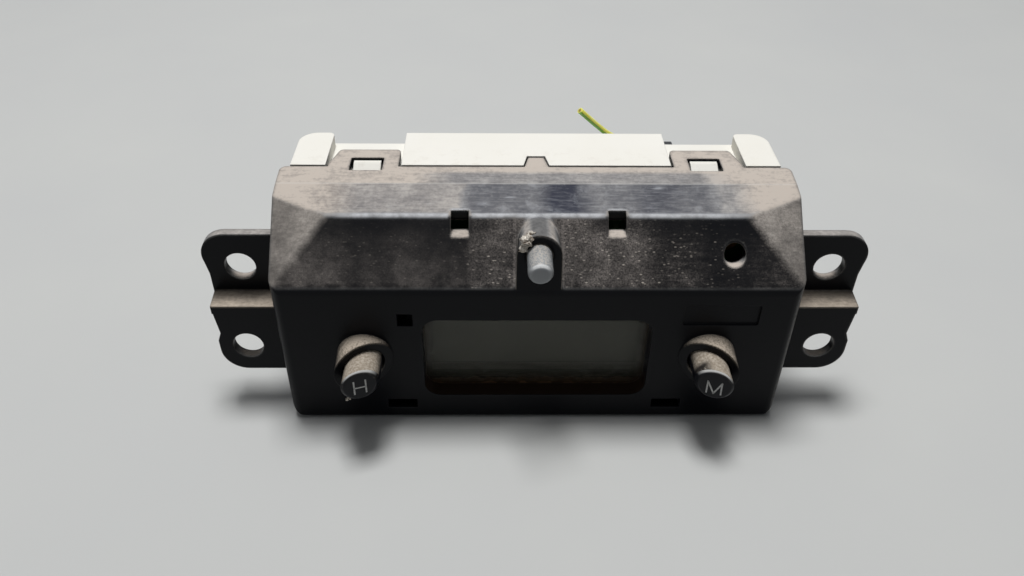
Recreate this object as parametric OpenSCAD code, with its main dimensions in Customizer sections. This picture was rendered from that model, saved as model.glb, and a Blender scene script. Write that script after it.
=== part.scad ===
// Car dashboard clock: black front cover with ears, white rear case, LCD, two buttons.
// Drawn with the face at y = 0 and y growing towards the rear; set_in_frame() then moves the
// origin under the middle of the housing. Lengths are in millimetres.

/* [Front cover] */
// Width of the cover over its side walls
cover_w = 108; // [100:0.5:116]
// Depth from the face to the cover's rear edge
cover_d = 24.1; // [23:0.1:27]
// Height of the upright face
face_h = 36.2; // [34:0.1:38]
// Height of the cover's rear edge
rear_h = 50.7; // [48:0.1:54]
// How far the crease across the top lies below the rear edge
crease_drop = 0.6; // [0.4:0.1:0.9]
// How far the crease lies behind the face
crease_y = 18.3; // [16:0.1:20]
// How far the brow's upper edge lies below the rear edge
brow_drop = 2.5; // [2:0.1:3.5]
// How far the brow's upper edge lies behind the face
brow_y = 9.3; // [8:0.1:10.5]
// Wall of the cover
wall = 2.2; // [1.8:0.1:2.5]
// Radius of the upright front edges
front_edge_r = 2; // [1:0.1:3]
// Radius of the upright rear edges
rear_edge_r = 1.5; // [0.5:0.1:2]
// Radius of the two lower corners, seen from the front
foot_r = 4.5; // [3:0.1:5]
// Radius along the brow's upper edge
brow_edge_r = 1.3; // [0.4:0.1:1.5]
// Radius along the edge where the face meets the brow
face_edge_r = 4; // [1:0.1:5]
// How far in from the side each corner facet reaches on the brow's upper edge
facet_in = 11.5; // [8:0.1:14]
// How far back each corner facet reaches along the side wall
facet_back = 4.1; // [3:0.1:5]

/* [Window and display] */
// Width of the window opening
window_w = 48; // [44:0.5:50]
// Height of the face under the window
sill_h = 7.05; // [6.5:0.05:8]
// Height of the face over the window
lintel_h = 7.65; // [7:0.05:8.5]
// Corner radius of the window
window_r = 3.5; // [2:0.1:5]
// How far the lens lies behind the face
lens_depth = 3.8; // [3.2:0.1:4.5]
// Thickness of the lens
lens_t = 1.6; // [1.2:0.1:2]
// Overlap of the lens on the rim round the window
rim_w = 1.5; // [1.2:0.1:1.8]
// Thickness of the LCD's glass sandwich
lcd_t = 2.4; // [2:0.1:2.8]
// Distance from the LCD's back to the circuit board
display_gap = 6.2; // [5.5:0.1:7]
// Thickness of the circuit board
board_t = 1.6; // [1:0.1:2]

/* [Buttons] */
// Distance of each button's axis from the side of the window
button_out = 12.2; // [11:0.1:14]
// Height of the buttons
button_z = 18.9; // [17:0.1:20]
// Diameter of a button
button_d = 7.6; // [7:0.1:8.4]
// How far the middle of a button's end stands out of the face
button_reach = 9.3; // [7:0.1:11]
// Slant of a button's end
button_slant = 18.5; // [0:0.5:25]
// Travel of a button
press_travel = 1; // [0.6:0.1:1.2]
// Gap round a button in its collar
button_gap = 0.4; // [0.3:0.05:0.5]
// Wall of a collar
collar_wall = 1.4; // [1.2:0.1:2]
// How far the middle of a collar's rim stands out of the face
collar_reach = 3.5; // [2:0.1:4]
// Slant of a collar's rim
collar_slant = 29; // [0:0.5:32]

/* [Indicator] */
// Width of the hood
hood_w = 9.2; // [8:0.1:9.6]
// How far the light pipe's axis lies below the brow's upper edge
hood_drop = 4.2; // [4:0.1:5]
// How far the top of the hood's front lies behind the face
hood_back = 1.9; // [1.2:0.1:2.6]
// Diameter of the light pipe
pipe_d = 5; // [4.5:0.1:5.4]
// How far the light pipe stands out of the face
pipe_reach = 5.3; // [4:0.1:7]

/* [Holes] */
// Width of the two square holes at the brow's upper edge
vent_w = 3.6; // [3:0.1:4]
// Distance of those holes from the middle
vent_x = 15.8; // [14:0.1:18]
// Diameter of the adjuster hole in the brow
adjuster_d = 4.4; // [3.5:0.1:5]
// Distance of the adjuster hole from the middle
adjuster_x = 39.4; // [38:0.1:40]
// How far the adjuster hole dips towards the rear, in degrees
adjuster_dip = 12; // [0:1:20]
// Width of the two slots under the window
slot_w = 6.4; // [5:0.1:7]
// Height of those slots
slot_h = 2.6; // [2:0.1:3]
// Distance of those slots' middle from the side of the window
slot_out = 5.2; // [4.5:0.1:6]
// Side of the small square hole by the window
peep_w = 3.2; // [2.5:0.1:3.6]

/* [Ears] */
// Distance of the ear holes from the cover's side
ear_hole_out = 8.7; // [8:0.1:10]
// Diameter of the ear holes
ear_hole_d = 6.6; // [5.5:0.1:7]
// Height of the upper ear holes
upper_hole_z = 33.5; // [33:0.1:35]
// Height of the lower ear holes
lower_hole_z = 16.2; // [14:0.1:18]
// Thickness of the ears
ear_t = 2; // [1.6:0.1:2.4]
// Height of the ledge between the upper and lower ear
ledge_z = 27; // [26:0.1:28]
// How far the upper ear lies behind the face
upper_ear_y = 12; // [11:0.1:14]
// How far the lower ear lies behind the face
lower_ear_y = 6.3; // [5:0.1:7.5]
// Radius of the ears' outer corners
ear_r = 5.4; // [4:0.1:5.5]

/* [Snap tabs] */
// Inner edge of each tab, from the middle
tab_in = 29.2; // [28.5:0.1:30]
// Width of each tab at its root
tab_w = 14.8; // [14:0.1:16]
// How much narrower a tab is at its end
tab_taper = 1.7; // [1:0.1:2.5]
// How far the tabs reach behind the cover
tab_reach = 7.2; // [6:0.1:8]
// Thickness of the tabs
tab_t = 2.2; // [1.8:0.1:2.4]
// Width of the window in each tab
catch_w = 7; // [6:0.1:8]
// Length of that window
catch_l = 4.9; // [4.5:0.1:5.2]
// Length of the key in the middle
key_l = 3.9; // [3:0.1:5]
// Width of the key at its root
key_w = 5.3; // [4:0.1:7]

/* [Rear case] */
// Depth of the whole housing, from the face to the case's back
housing_d = 38.6; // [37:0.1:42]
// How much narrower the case is than the cover, on each side
case_step = 2; // [1.8:0.1:2.4]
// Wall of the case
case_wall = 1.6; // [1.2:0.1:1.7]
// Radius of the case's upright rear edges
case_r = 4; // [2.5:0.1:5]
// How far the case's skirt reaches into the cover
lap = 5; // [4:0.1:6]
// Clearance between the cover and the case
seat_gap = 0.3; // [0.2:0.05:0.4]

/* [Plug] */
// Width of the harness plug
plug_w = 20; // [18:0.1:21]
// Height of the harness plug
plug_h = 9; // [8:0.1:9.5]
// Distance of the plug's middle from the middle of the case
plug_x = 23.4; // [22:0.1:24]
// How far the plug's middle lies below the cover's rear edge
plug_drop = 11.5; // [11:0.1:13]
// How far the plug stands out of the case
plug_reach = 9.7; // [8:0.1:11]
// Clearance round the plug in its well
plug_gap = 0.3; // [0.2:0.05:0.4]
// Number of pins in a row
pins_in_row = 5; // [4:1:5]
// Diameter of the harness wire
wire_d = 1.5; // [1.2:0.1:1.8]

/* [Hidden] */
$fn = 48;
fit = 0.1;           // clearance of parts that are set into each other
through = 1;         // how far a cut runs past what it cuts
fuse = 0.6;          // how far joined features run into each other

// Heights of the cover's top
brow_h = rear_h - brow_drop;
crease_h = rear_h - crease_drop;

// Levels behind the face, from the lens to the board
lcd_y = lens_depth + lens_t;
lcd_back = lcd_y + lcd_t;
board_y = lcd_back + display_gap;
board_back = board_y + board_t;

// Window rim, lens and frame
window_h = face_h - sill_h - lintel_h;
window_z = sill_h + window_h / 2;
rim_size = [window_w + 2 * rim_w, window_h + 2 * rim_w];
frame_wall = 1.4;
frame_size = rim_size + 2 * [frame_wall + fit, frame_wall + fit];
strip_t = 2;                          // thickness of a contact strip
strip_in = 3;                         // its distance from the lens's edge
strip_z = rim_size[1] / 2 - strip_in;
strip_l = window_w - 2;
guide_size = [window_w - 3, window_h - 6.5];
guide_t = 3.4;

// Indicator
hood_z = brow_h - hood_drop;
hood_draft = 0.7;                     // how much the hood's radius shrinks towards the rear
sleeve_r = hood_w / 2 - hood_draft - fit;
flange_t = 1.2;
led_size = [3.2, 1.9, 2.8];
led_gap = 0.2;
stub_l = 0.4;                         // of the light pipe, between its flange and the LED
sleeve_y = board_y - led_size[1] - led_gap - stub_l - flange_t; // rear end of its sleeve
brow_rise = (brow_h - face_h) / brow_y;
top_rise = (crease_h - brow_h) / (crease_y - brow_y);
ceiling = min(ceiling_under(face_h, 0, brow_rise), ceiling_under(brow_h, brow_y, top_rise));
pipe_head = ceiling - hood_z - seat_gap; // room over the pipe's axis behind the sleeve

// Brow holes
vent_drop = 3.4;
vent_depth = brow_y + 1.3;
adjuster_drop = 6.2;
adjuster_z = brow_h - adjuster_drop;
adjuster_y = (adjuster_z - face_h) / brow_rise;
adjuster_run = 2 * wall + adjuster_d / 2; // of its bore, to each side of the brow
slot_x = window_w / 2 + slot_out;
slot_z = 4.5;
peep_x = -(window_w / 2 + 3.3);
peep_z = window_z + window_h / 2;
panel_size = [15.6, 5.2];             // shallow bare panel over the minute button
panel_x = window_w / 2 + button_out + 1.7;
panel_drop = 6.4;
panel_z = face_h - panel_drop;
panel_depth = 0.5;

// Board and its bosses
board_edge = 2.8;
board_bottom = 5;
board_top = hood_z + 2;
board_half = cover_w / 2 - wall - board_edge;
boss_r = 2.8;
boss_x = cover_w / 2 - wall - boss_r - 2.1;
boss_heights = [8.5, face_h - 4.2];
screw_r = 1.1;
screw_l = 8;
head_r = 2.3;
head_t = 1.7;

// Buttons and switches
button_x = window_w / 2 + button_out;
button_edge = 0.5;                    // width of the softened edge round a button's end
collar_r = button_d / 2 + button_gap + collar_wall;
collar_draft = 0.4;                   // how much a collar's radius shrinks towards its rim
collar_end = collar_reach + collar_r * tan(collar_slant) + through;
sleeve_end = 5;                       // rear end of the collar's inner sleeve
stop_gap = 0.2;
button_flange_y = sleeve_end + stop_gap;
button_flange_t = 1.2;
switch_h = 3.5;
switch_w = 6;
plunger_r = 1.75;
plunger_out = 1.5;
plunger_in = 1.5;
plunger_y = board_y - switch_h - plunger_out;

// Ears
ear_x = cover_w / 2 + ear_hole_out;
upper_lobe = 7.6;                     // hole to outer edge
upper_rise = 8.1;                     // hole to top edge
lower_lobe = 6.25;
lower_drop = 6.9;
neck_in = 0.8;                        // waist of the ears between hole and ledge

// Snap tabs, lugs and the case's blocks
tab_end = cover_d + tab_reach;
catch_x = tab_in + 6.8;
catch_y = cover_d + 1.15;
lug_gap = 0.4;
lug_proud = 2.1;
floor_top = rear_h - tab_t - seat_gap;
floor_bottom = tab_t + seat_gap;
block_rise = 0.2;                     // the case's blocks over the cover's rear edge
block_gap = 0.6;                      // beside the tabs
block_r = 1.3;                        // radius of the outer blocks' corners beside the tabs
case_front = cover_d + seat_gap;
case_half = cover_w / 2 - case_step;
case_foot_r = max(foot_r - case_step, 0);
skirt_half = cover_w / 2 - wall - seat_gap;
skirt_top = crease_h - wall - seat_gap - 0.2;
label_size = [46, 21];                // bare recess on the back, where a label would go
label_x = -16;
label_z = 25;
label_depth = 0.4;

// Plug well, header and pins
plug_z = rear_h - plug_drop;
well_wall = 1.5;
header_l = 10.1;
header_back = board_back + header_l;
well_front = header_back + seat_gap;
plug_front = well_front + 1;
plug_back = housing_d + plug_reach;
pin_w = 0.8;
pin_pitch = 3.4;
row_pitch = 4;
pin_tail = 2;
pin_end = plug_front + 7;
cavity_w = 1.4;
entry_r = 1.1;
entry_depth = 3;

// Route of the harness wire, from the bottom of its hole in the plug to the cut end
wire_start = [plug_x + pin_pitch * (pins_in_row - 1) / 2, plug_back - entry_depth,
    plug_z - row_pitch / 2];
wire_bend = [
    [0, 0, 0], [0, 3, 0], [0, 5.7, -0.1], [-0.1, 8.7, -0.6], [-0.4, 11.7, -1.8],
    [-0.9, 14.7, -3.2], [-2, 17.3, -4.1], [-3.9, 19, -4], [-6, 19.5, -2.8], [-8.1, 19.1, -1.1],
    [-10.7, 17.8, 1], [-13.2, 16.8, 3.5], [-15.6, 15.8, 6], [-18.1, 14.7, 8.7]
];
wire_route = [for (offset = wire_bend) wire_start + offset];
wire_sides = 8;

// Shared shapes

module set_in_frame() {
    translate([0, -housing_d / 2, 0]) children();
}

// Outline drawn as (y, z), swept from one x to another
module along_x(from, to) {
    translate([from, 0, 0]) rotate([90, 0, 90]) linear_extrude(to - from) children();
}

// Outline drawn as (x, z), swept from one y to another
module along_y(from, to) {
    translate([0, to, 0]) rotate([90, 0, 0]) linear_extrude(to - from) children();
}

// Outline drawn as (x, y), swept from one z to another
module along_z(from, to) {
    translate([0, 0, from]) linear_extrude(to - from) children();
}

// Round bar along y
module bar_y(x, z, from, to, r) {
    translate([x, to, z]) rotate([90, 0, 0]) cylinder(h = to - from, r = r);
}

// Box from its two opposite corners
module block(low, high) {
    translate(low) cube(high - low);
}

module both_sides() {
    children();
    mirror([1, 0, 0]) children();
}

function unit(v) = v / norm(v);

function before(points, i) = points[(i + len(points) - 1) % len(points)];

function after(points, i) = points[(i + 1) % len(points)];

function inward(a, b) = [a[1] - b[1], b[0] - a[0]] / norm(b - a);

// Anticlockwise convex outline moved inward by d
function inset(points, d) = [
    for (i = [0 : len(points) - 1])
        let (
            n1 = inward(before(points, i), points[i]),
            n2 = inward(points[i], after(points, i))
        )
        points[i] + d * (n1 + n2) / (1 + n1 * n2)
];

function half_angle(points, i) = let (
    u = unit(before(points, i) - points[i]),
    v = unit(after(points, i) - points[i])
) acos(u * v) / 2;

// Where the arc of radius r at corner i touches the two edges there
function touch_points(points, i, r) = let (
    run = r / tan(half_angle(points, i))
) [
    points[i] + run * unit(before(points, i) - points[i]),
    points[i] + run * unit(after(points, i) - points[i])
];

function arc_centre(points, i, r) = let (
    u = unit(before(points, i) - points[i]),
    v = unit(after(points, i) - points[i])
) points[i] + unit(u + v) * r / sin(half_angle(points, i));

// Outline with an arc of its own radius at each convex corner, or none where the radius is 0
module rounded(points, radii) {
    polygon([
        for (i = [0 : len(points) - 1])
            each radii[i] > 0 ? touch_points(points, i, radii[i]) : [points[i]]
    ]);
    for (i = [0 : len(points) - 1])
        if (radii[i] > 0)
            translate(arc_centre(points, i, radii[i])) circle(radii[i]);
}

function box_points(low, high) = [low, [high[0], low[1]], high, [low[0], high[1]]];

module slab(centre, size, r) {
    rounded(box_points(centre - size / 2, centre + size / 2), [r, r, r, r]);
}

// Front cover

// Height of the cover's inner side at the sleeve's end, under a top face that climbs from (y, z)
function ceiling_under(z, y, rise) =
    z + (sleeve_y - y) * rise - wall * sqrt(1 + rise * rise);

function side_points(rear) = [
    [0, 0],
    [rear, 0],
    [rear, rear_h + (rear - cover_d) * (rear_h - crease_h) / (cover_d - crease_y)],
    [crease_y, crease_h],
    [brow_y, brow_h],
    [0, face_h]
];

// The cover's outer form, moved inward by d and running back to a given depth
module cover_form(d, rear) {
    half = cover_w / 2 - d;
    edge = max(brow_edge_r - d, 0);
    face_edge = max(face_edge_r - d, 0);
    front_r = max(front_edge_r - d, 0);
    rear_r = d > 0 ? 0 : rear_edge_r;
    low_r = max(foot_r - d, 0);
    difference() {
        intersection() {
            along_x(-half, half)
                rounded(inset(side_points(rear), d), [edge, 0, 0, 0, edge, face_edge]);
            along_y(-through, rear + through)
                rounded(box_points([-half, d], [half, rear_h + cover_d]), [low_r, low_r, 0, 0]);
            along_z(-through, rear_h + cover_d)
                rounded(box_points([-half, d], [half, rear]), [front_r, front_r, rear_r, rear_r]);
        }
        both_sides() corner_facet(d);
    }
}

facet_brow = [cover_w / 2 - facet_in, brow_y, brow_h];
facet_side = [cover_w / 2, brow_y + facet_back, brow_h];
facet_face = [cover_w / 2, 0, face_h];
facet_normal = unit(cross(facet_face - facet_brow, facet_side - facet_brow));

// All that lies outside a corner facet
module corner_facet(d) {
    translate(facet_brow - d * facet_normal)
        rotate([0, acos(facet_normal[2]), atan2(facet_normal[1], facet_normal[0])])
            block([-cover_w / 2, -cover_w / 2, 0], [cover_w / 2, cover_w / 2, cover_w / 2]);
}

// Rounded hood over the light pipe; its front rises out of the face and leans back a little
module hood() {
    front = hood_w / 2;
    rear = front - hood_draft;
    low = face_h - wall;
    high = hood_z + front + through;
    intersection() {
        union() {
            translate([0, 0, hood_z]) rotate([-90, 0, 0])
                cylinder(h = sleeve_y, r1 = front, r2 = rear);
            along_z(low, hood_z)
                polygon([[-front, 0], [front, 0], [rear, sleeve_y], [-rear, sleeve_y]]);
        }
        along_x(-hood_w, hood_w)
            polygon([[0, low], [sleeve_y, low], [sleeve_y, high], [hood_back, high]]);
    }
}

// Cup round a button, its rim slanted and lowest beside the window
module collar() {
    translate([button_x, 0, button_z]) difference() {
        rotate([90, 0, 0]) cylinder(h = collar_end, r1 = collar_r + collar_draft, r2 = collar_r);
        translate([0, -collar_reach, 0]) rotate([0, 0, -collar_slant])
            block([-3 * collar_r, -2 * collar_end, -2 * collar_r], [3 * collar_r, 0, 2 * collar_r]);
    }
    bar_y(button_x, button_z, 0, sleeve_end, collar_r - collar_draft);
}

module board_boss(x, z) {
    bar_y(x, z, wall - fuse, board_y, boss_r);
}

function upper_ear_points(root) = [
    [root, ledge_z - ear_t],
    [ear_x + upper_lobe - neck_in, ledge_z - ear_t],
    [ear_x + upper_lobe - neck_in, upper_hole_z - 2.1],
    [ear_x + upper_lobe, upper_hole_z + 2.4],
    [ear_x + upper_lobe, upper_hole_z + upper_rise],
    [root, upper_hole_z + upper_rise]
];

function lower_ear_points(root) = [
    [root, lower_hole_z - lower_drop],
    [ear_x + lower_lobe, lower_hole_z - lower_drop],
    [ear_x + lower_lobe, lower_hole_z + 1.3],
    [ear_x + lower_lobe - neck_in, lower_hole_z + 3.4],
    [ear_x + lower_lobe, ledge_z],
    [root, ledge_z]
];

// Ear bent like a Z: upper plate, ledge and lower plate
module ear() {
    root = cover_w / 2 - wall / 2;
    upper_back = upper_ear_y + ear_t;
    along_y(upper_ear_y, upper_back)
        rounded(upper_ear_points(root), [0, 0, 0, 0, ear_r, 0]);
    along_y(lower_ear_y, lower_ear_y + ear_t)
        rounded(lower_ear_points(root), [0, ear_r, 0, 0, 0, 0]);
    along_z(ledge_z - ear_t, ledge_z)
        polygon([[root, lower_ear_y], [ear_x + lower_lobe, lower_ear_y],
            [ear_x + upper_lobe - neck_in, upper_back], [root, upper_back]]);
}

// Plan of one tab, and of half the key in the middle
module tab_plan(grow = 0) {
    low = cover_d - fuse;
    end = tab_end + grow;
    rounded([[tab_in - grow, low], [tab_in + tab_w + grow, low],
        [tab_in + tab_w + grow, cover_d + 1.2], [tab_in + tab_w - tab_taper + grow, end],
        [tab_in - grow, end]], [0, 0, 0, 1, 1]);
}

module key_plan(grow = 0) {
    low = cover_d - fuse;
    end = cover_d + key_l + grow;
    tip = key_w / 2 - 1 + grow;
    polygon([[-key_w / 2 - grow, low], [key_w / 2 + grow, low], [tip, end], [-tip, end]]);
}

// Upper tabs and key lie flush with the cover's rear edge, lower tabs with its underside
module snap_tabs() {
    intersection() {
        along_x(-cover_w / 2, cover_w / 2)
            polygon([[cover_d - through, floor_bottom], [tab_end + through, floor_bottom],
                [tab_end + through, rear_h], [cover_d, rear_h],
                [cover_d - through, rear_h - through * (rear_h - crease_h) / (cover_d - crease_y)]]);
        along_z(rear_h - tab_t, rear_h + through) {
            both_sides() tab_plan();
            key_plan();
        }
    }
    along_z(0, tab_t) both_sides() tab_plan();
}

module catch_window(low, high) {
    block([catch_x - catch_w / 2, catch_y - catch_l / 2, low],
        [catch_x + catch_w / 2, catch_y + catch_l / 2, high]);
}

// Square holes and the round adjuster hole in the brow, the slots and holes in the face
module cover_holes() {
    both_sides() {
        block([vent_x - vent_w / 2, -through, brow_h - vent_drop],
            [vent_x + vent_w / 2, vent_depth, rear_h]);
        block([slot_x - slot_w / 2, -through, slot_z - slot_h / 2],
            [slot_x + slot_w / 2, wall + through, slot_z + slot_h / 2]);
    }
    translate([adjuster_x, adjuster_y, adjuster_z]) rotate([-adjuster_dip, 0, 0])
        bar_y(0, 0, -adjuster_run, adjuster_run, adjuster_d / 2);
    block([peep_x - peep_w / 2, -through, peep_z - peep_w / 2],
        [peep_x + peep_w / 2, wall + through, peep_z + peep_w / 2]);
    along_y(-through, panel_depth) slab([panel_x, panel_z], panel_size, 0.4);
}

module front_cover() {
    color("#1b1b1e") set_in_frame() difference() {
        union() {
            difference() {
                union() {
                    cover_form(0, cover_d);
                    hood();
                }
                cover_form(wall, cover_d + 2 * wall);
            }
            along_y(wall - fuse, lens_depth) slab([0, window_z], rim_size, window_r + rim_w);
            bar_y(0, hood_z, brow_y - wall, sleeve_y, sleeve_r);
            both_sides() {
                collar();
                ear();
                for (z = boss_heights)
                    board_boss(boss_x, z);
            }
            snap_tabs();
        }
        along_y(-through, lens_depth + through)
            slab([0, window_z], [window_w, window_h], window_r);
        bar_y(0, hood_z, -through, sleeve_y + through, pipe_d / 2 + fit);
        cover_holes();
        both_sides() {
            bar_y(button_x, button_z, -collar_end - through, sleeve_end + through,
                button_d / 2 + button_gap);
            for (z = boss_heights)
                bar_y(boss_x, z, board_y - screw_l, board_y + through, screw_r + fit / 2);
            bar_y(ear_x, upper_hole_z, upper_ear_y - through, upper_ear_y + ear_t + through,
                ear_hole_d / 2);
            bar_y(ear_x, lower_hole_z, lower_ear_y - through, lower_ear_y + ear_t + through,
                ear_hole_d / 2);
            catch_window(rear_h - tab_t - through, rear_h + through);
            catch_window(-through, tab_t + through);
        }
    }
}

// Rear case

// Plan of the case's body, its rear corners rounded
module case_plan(d = 0) {
    half = case_half - d;
    r = max(case_r - d, 0);
    rounded(box_points([-half, case_front + d], [half, housing_d - d]), [0, 0, r, r]);
}

// Raised blocks beside the tabs, and the same moved inward for their hollows
module block_plan(d = 0) {
    middle = tab_in - block_gap - d;
    side = tab_in + tab_w + block_gap + d;
    r = max(block_r - d, 0);
    intersection() {
        case_plan(d);
        union() {
            translate([-middle, 0]) square([2 * middle, housing_d]);
            both_sides()
                rounded(box_points([side, 0], [cover_w, housing_d - d]), [0, 0, 0, r]);
        }
    }
}

module lug(z, up) {
    front = catch_y - catch_l / 2 + lug_gap;
    back = catch_y + catch_l / 2 - lug_gap;
    half = catch_w / 2 - 1.5 * lug_gap;
    root = z - up * fuse;
    along_x(catch_x - half, catch_x + half)
        polygon([[front, root], [back, root], [back, z + up * lug_proud],
            [back - 1, z + up * lug_proud], [front, z + up * 0.7]]);
}

module rear_case() {
    inner_low = floor_bottom + case_wall;
    inner_high = skirt_top - case_wall;
    skirt_front = cover_d - lap;
    well_size = [plug_w, plug_h] + 2 * [plug_gap, plug_gap];
    color("#ecebe4") set_in_frame() difference() {
        union() {
            difference() {
                union() {
                    intersection() {
                        union() {
                            along_z(floor_bottom, floor_top) case_plan();
                            along_z(0, rear_h + block_rise) block_plan();
                        }
                        along_y(0, housing_d + through)
                            rounded(box_points([-case_half, 0], [case_half, 2 * rear_h]),
                                [case_foot_r, case_foot_r, 0, 0]);
                    }
                    along_y(skirt_front, case_front + fuse)
                        slab([0, (floor_bottom + skirt_top) / 2],
                            [2 * skirt_half, skirt_top - floor_bottom], foot_r / 2);
                }
                block([-case_half + case_wall + fuse, skirt_front - through, inner_low],
                    [case_half - case_wall - fuse, case_front + case_wall + fuse, inner_high]);
                along_z(inner_low, inner_high) case_plan(case_wall);
                along_z(case_wall, rear_h + block_rise - case_wall)
                    block_plan(case_wall);
            }
            both_sides() {
                lug(floor_top, 1);
                lug(floor_bottom, -1);
            }
            along_y(well_front, housing_d - fuse)
                slab([plug_x, plug_z], well_size + 2 * [well_wall, well_wall], 1);
        }
        along_y(well_front - through, housing_d + through)
            slab([plug_x, plug_z], well_size, 0.5);
        along_z(rear_h - tab_t, rear_h + through) key_plan(seat_gap);
        along_y(housing_d - label_depth, housing_d + through)
            slab([label_x, label_z], label_size, 1);
    }
}

// Window and display

module window_lens() {
    color("#5b6662", 0.5) set_in_frame()
        along_y(lens_depth, lcd_y) slab([0, window_z], rim_size, window_r);
}

// Two glass plates; the rear one is taller and carries the contacts
module lcd_panel() {
    contact_edge = 2;
    front_glass = rim_size - [2 * fit, 2 * contact_edge];
    color("#4c534c") set_in_frame() {
        along_y(lcd_y, lcd_y + lcd_t / 2 + fit) slab([0, window_z], front_glass, 0);
        along_y(lcd_y + lcd_t / 2, lcd_back)
            slab([0, window_z], rim_size - 2 * [fit, fit], 0);
    }
}

// Holder that keeps the lens and the display on the cover's rim
module lcd_frame() {
    color("#202023") set_in_frame() difference() {
        along_y(wall, board_y) slab([0, window_z], frame_size, 1);
        along_y(wall - through, lcd_back)
            slab([0, window_z], rim_size + 2 * [fit, fit], 0);
        along_y(wall, board_y + through)
            slab([0, window_z], [rim_size[0] - 0.6, guide_size[1] + 0.6], 0);
        for (side = [-1, 1])
            along_y(wall, board_y + through)
                slab([0, window_z + side * strip_z], [strip_l + 2 * fit, strip_t + 2 * fit], 0);
    }
}

module contact_strip(side) {
    color("#c9c5b4") set_in_frame()
        along_y(lcd_back, board_y) slab([0, window_z + side * strip_z], [strip_l, strip_t], 0);
}

module upper_contact_strip() {
    contact_strip(1);
}

module lower_contact_strip() {
    contact_strip(-1);
}

module light_guide() {
    color("#e6ebe4", 0.7) set_in_frame()
        along_y(lcd_back + fit, lcd_back + guide_t) slab([0, window_z], guide_size, 0.5);
}

// White tray that stands on the board behind the light guide
module reflector() {
    tray_wall = 1;
    color("#f2f2ee") set_in_frame() difference() {
        along_y(lcd_back + guide_t, board_y) slab([0, window_z], guide_size, 0.5);
        along_y(lcd_back + guide_t + tray_wall, board_y + through)
            slab([0, window_z], guide_size - 2 * [tray_wall, tray_wall], 0);
    }
}

module backlight_lamps() {
    lamp_w = 2;
    lamp_x = guide_size[0] / 2 + 0.3;
    color("#f3efd8") set_in_frame() both_sides()
        block([lamp_x, board_y - lamp_w, window_z - lamp_w], [lamp_x + lamp_w, board_y,
            window_z + lamp_w]);
}

// Circuit board and what stands on it

module pin_places() {
    for (column = [0 : pins_in_row - 1])
        for (row = [-1, 1])
            translate([plug_x + (column - (pins_in_row - 1) / 2) * pin_pitch, 0,
                plug_z + row * row_pitch / 2]) children();
}

// Square bar along y on the local axis
module pin(from, to, w) {
    block([-w / 2, from, -w / 2], [w / 2, to, w / 2]);
}

module circuit_board() {
    color("#2f6b45") set_in_frame() difference() {
        along_y(board_y, board_back)
            rounded(box_points([-board_half, board_bottom], [board_half, board_top]),
                [1, 1, 3, 3]);
        both_sides() for (z = boss_heights)
            bar_y(boss_x, z, board_y - through, board_back + through, screw_r + 0.3);
        pin_places() pin(board_y - through, board_back + through, pin_w + fit);
    }
}

// Blunt cone with a softened edge, which trims a button's end
module end_form() {
    flat_r = button_d / 2 - button_edge;
    run = button_reach + board_y;
    rotate([-90, 0, 0]) rotate_extrude()
        rounded([[0, 0], [flat_r, 0], [flat_r + run, run], [0, run]], [0, button_edge, 0, 0]);
}

module button(side) {
    end_r = button_d / 2;
    flange_r = end_r + 1.7;
    stem_r = plunger_r + 0.3;
    color("#26262a") set_in_frame() translate([side * button_x, 0, button_z]) intersection() {
        union() {
            bar_y(0, 0, -2 * button_reach, button_flange_y + fuse, end_r);
            bar_y(0, 0, button_flange_y, button_flange_y + button_flange_t, flange_r);
            bar_y(0, 0, button_flange_y, plunger_y, stem_r);
        }
        translate([0, -button_reach, 0]) rotate([0, 0, -side * button_slant]) end_form();
    }
}

module hour_button() {
    button(-1);
}

module minute_button() {
    button(1);
}

module switch_body(side) {
    bore_end = board_y - switch_h + plunger_in + press_travel + stop_gap;
    foot = 0.5;
    color("#3a3a3c") set_in_frame() translate([side * button_x, 0, button_z]) difference() {
        union() {
            along_y(board_y - switch_h, board_y) slab([0, 0], [switch_w, switch_w], 0.6);
            along_y(board_y - foot, board_y) slab([0, 0], [switch_w + 2.4, switch_w - 1.5], 0);
        }
        bar_y(0, 0, board_y - switch_h - through, bore_end, plunger_r + fit);
    }
}

module hour_switch() {
    switch_body(-1);
}

module minute_switch() {
    switch_body(1);
}

module switch_plunger(side) {
    color("#b9a77c") set_in_frame()
        bar_y(side * button_x, button_z, plunger_y, board_y - switch_h + plunger_in, plunger_r);
}

module hour_switch_plunger() {
    switch_plunger(-1);
}

module minute_switch_plunger() {
    switch_plunger(1);
}

// Rod with a rounded tip; a flange, flat on top under the ceiling, seats on the sleeve
module indicator_light_pipe() {
    tip_r = 1.3;
    pipe_r = pipe_d / 2;
    flange_r = hood_w / 2 - 0.8;
    pipe_l = pipe_reach + sleeve_y;
    color("#a3a6a8", 0.8) set_in_frame() {
        translate([0, -pipe_reach, hood_z]) rotate([-90, 0, 0])
            rotate_extrude() intersection() {
                rounded(box_points([-pipe_r, 0], [pipe_r, pipe_l]), [tip_r, tip_r, 0, 0]);
                square([pipe_d, pipe_l]);
            }
        intersection() {
            bar_y(0, hood_z, sleeve_y, sleeve_y + flange_t, flange_r);
            block([-hood_w, sleeve_y, hood_z - hood_w], [hood_w, board_y, hood_z + pipe_head]);
        }
        bar_y(0, hood_z, sleeve_y, board_y - led_size[1] - led_gap, pipe_head);
    }
}

module indicator_led() {
    color("#e9e4cf") set_in_frame()
        block([-led_size[0] / 2, board_y - led_size[1], hood_z - led_size[2] / 2],
            [led_size[0] / 2, board_y, hood_z + led_size[2] / 2]);
}

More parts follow.
